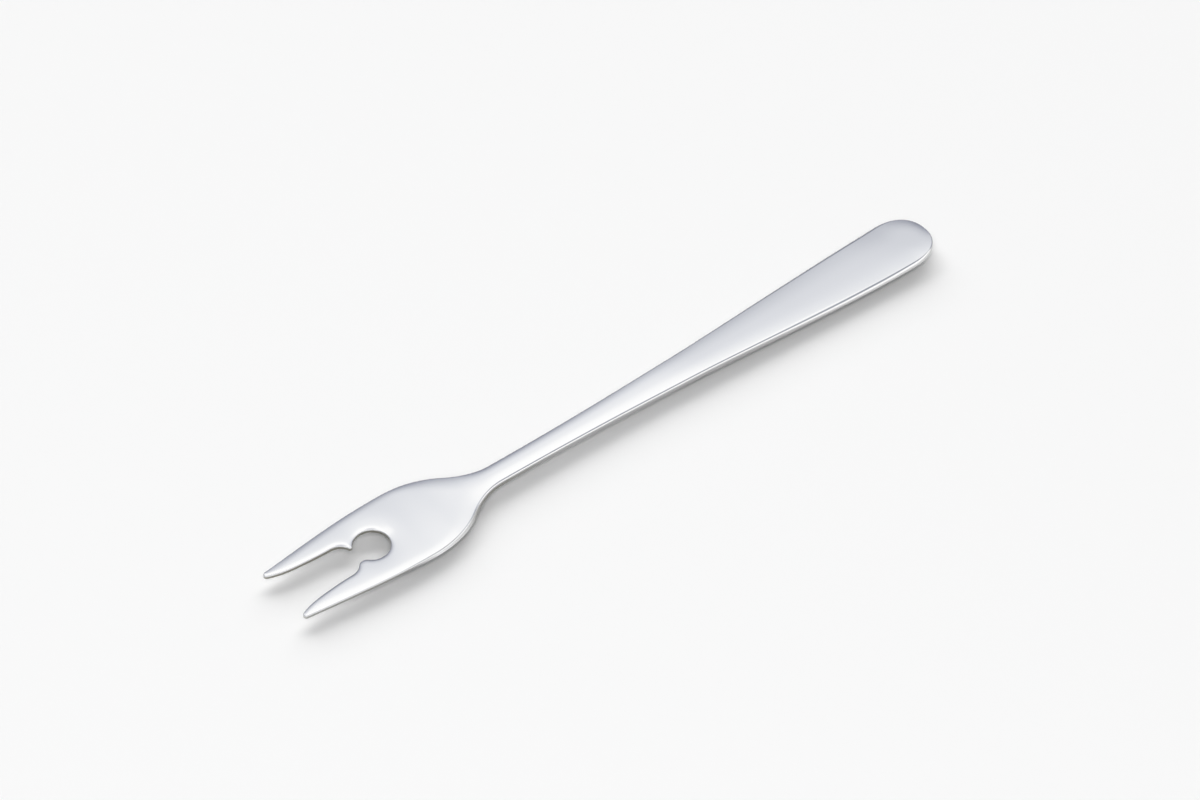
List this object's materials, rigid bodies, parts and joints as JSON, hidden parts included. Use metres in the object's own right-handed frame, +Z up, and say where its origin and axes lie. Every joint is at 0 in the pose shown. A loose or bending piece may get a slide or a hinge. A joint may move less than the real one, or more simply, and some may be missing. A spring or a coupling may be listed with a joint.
{
  "type": "skewer fork",
  "caption": "Small flat fork whose tines frame a slot, a narrow gate and a round hole, to grip a skewer and push food off it; the handle widens to a rounded end.",
  "frame": {"origin": "under the middle of the length, on the plane that the flat underside of the handle rests on", "axes": "+X from the tine tips to the handle end, +Y across the fork, +Z up through the sheet"},
  "size_m": [0.145, 0.0172, 0.0023],
  "materials": {
    "polished_stainless": "polished"
  },
  "bodies": {
    "root": {"fork": "polished_stainless"}
  },
  "joints": []
}
